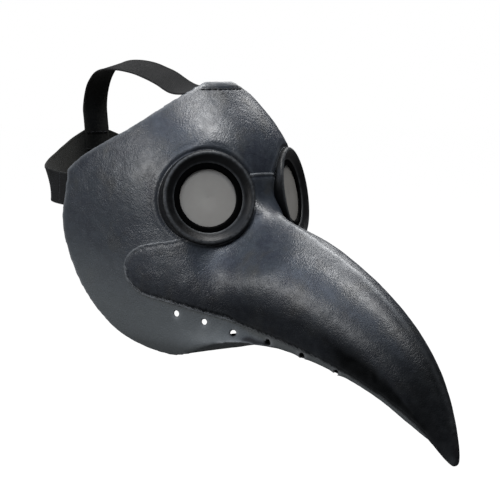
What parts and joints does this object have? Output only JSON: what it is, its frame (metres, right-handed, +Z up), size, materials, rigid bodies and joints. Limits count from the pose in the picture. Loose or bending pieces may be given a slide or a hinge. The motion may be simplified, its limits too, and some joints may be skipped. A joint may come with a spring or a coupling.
{
  "type": "plague doctor mask",
  "caption": "Half-head mask with a long down-curved beak, raised round eye rings with smoked lenses, a vented strip under the beak and an elastic head harness.",
  "frame": {"origin": "midpoint between the centres of the two lens faces", "axes": "+Z up as worn, the face and the beak look along -Y, the wearer's left is +X; the YZ plane is the plane of symmetry"},
  "size_m": [0.169, 0.4003, 0.2863],
  "materials": {
    "moulded_leather": "mottled slate-grey leather, satin with burnished highlights",
    "ring_leather": "smooth dark leather with a worn lighter edge",
    "black_retainer": "matt black",
    "smoked_lens": "flat clear plastic with a light grey smoke tint",
    "ribbed_elastic": "ribbed woven elastic, charcoal",
    "black_thread": "waxed black sewing thread"
  },
  "bodies": {
    "shell": {"face_shell": "moulded_leather", "beak_shell": "moulded_leather", "eye_bezel_right": "ring_leather", "eye_bezel_left": "ring_leather", "lens_right": "smoked_lens", "lens_left": "smoked_lens", "lens_retainer_right": "black_retainer", "lens_retainer_left": "black_retainer", "forehead_stitching": "black_thread", "strap_anchor_right": "ribbed_elastic", "strap_anchor_left": "ribbed_elastic", "top_strap_front": "ribbed_elastic"},
    "side_straps": {"strap_side_right": "ribbed_elastic", "strap_side_left": "ribbed_elastic"},
    "rear_harness": {"strap_rear": "ribbed_elastic", "top_strap_rear": "ribbed_elastic", "junction_stitching": "black_thread"}
  },
  "joints": [
    {"name": "harness_swing", "type": "hinge", "parent": "shell", "child": "side_straps", "pos_m": [0, 0.126, 0.003], "axis": [1, 0, 0], "range_deg": [-25, 20]},
    {"name": "harness_stretch", "type": "slide", "parent": "side_straps", "child": "rear_harness", "axis": [0, 1, 0], "range_m": [0, 0.06], "stiffness_N_per_m": 60}
  ]
}
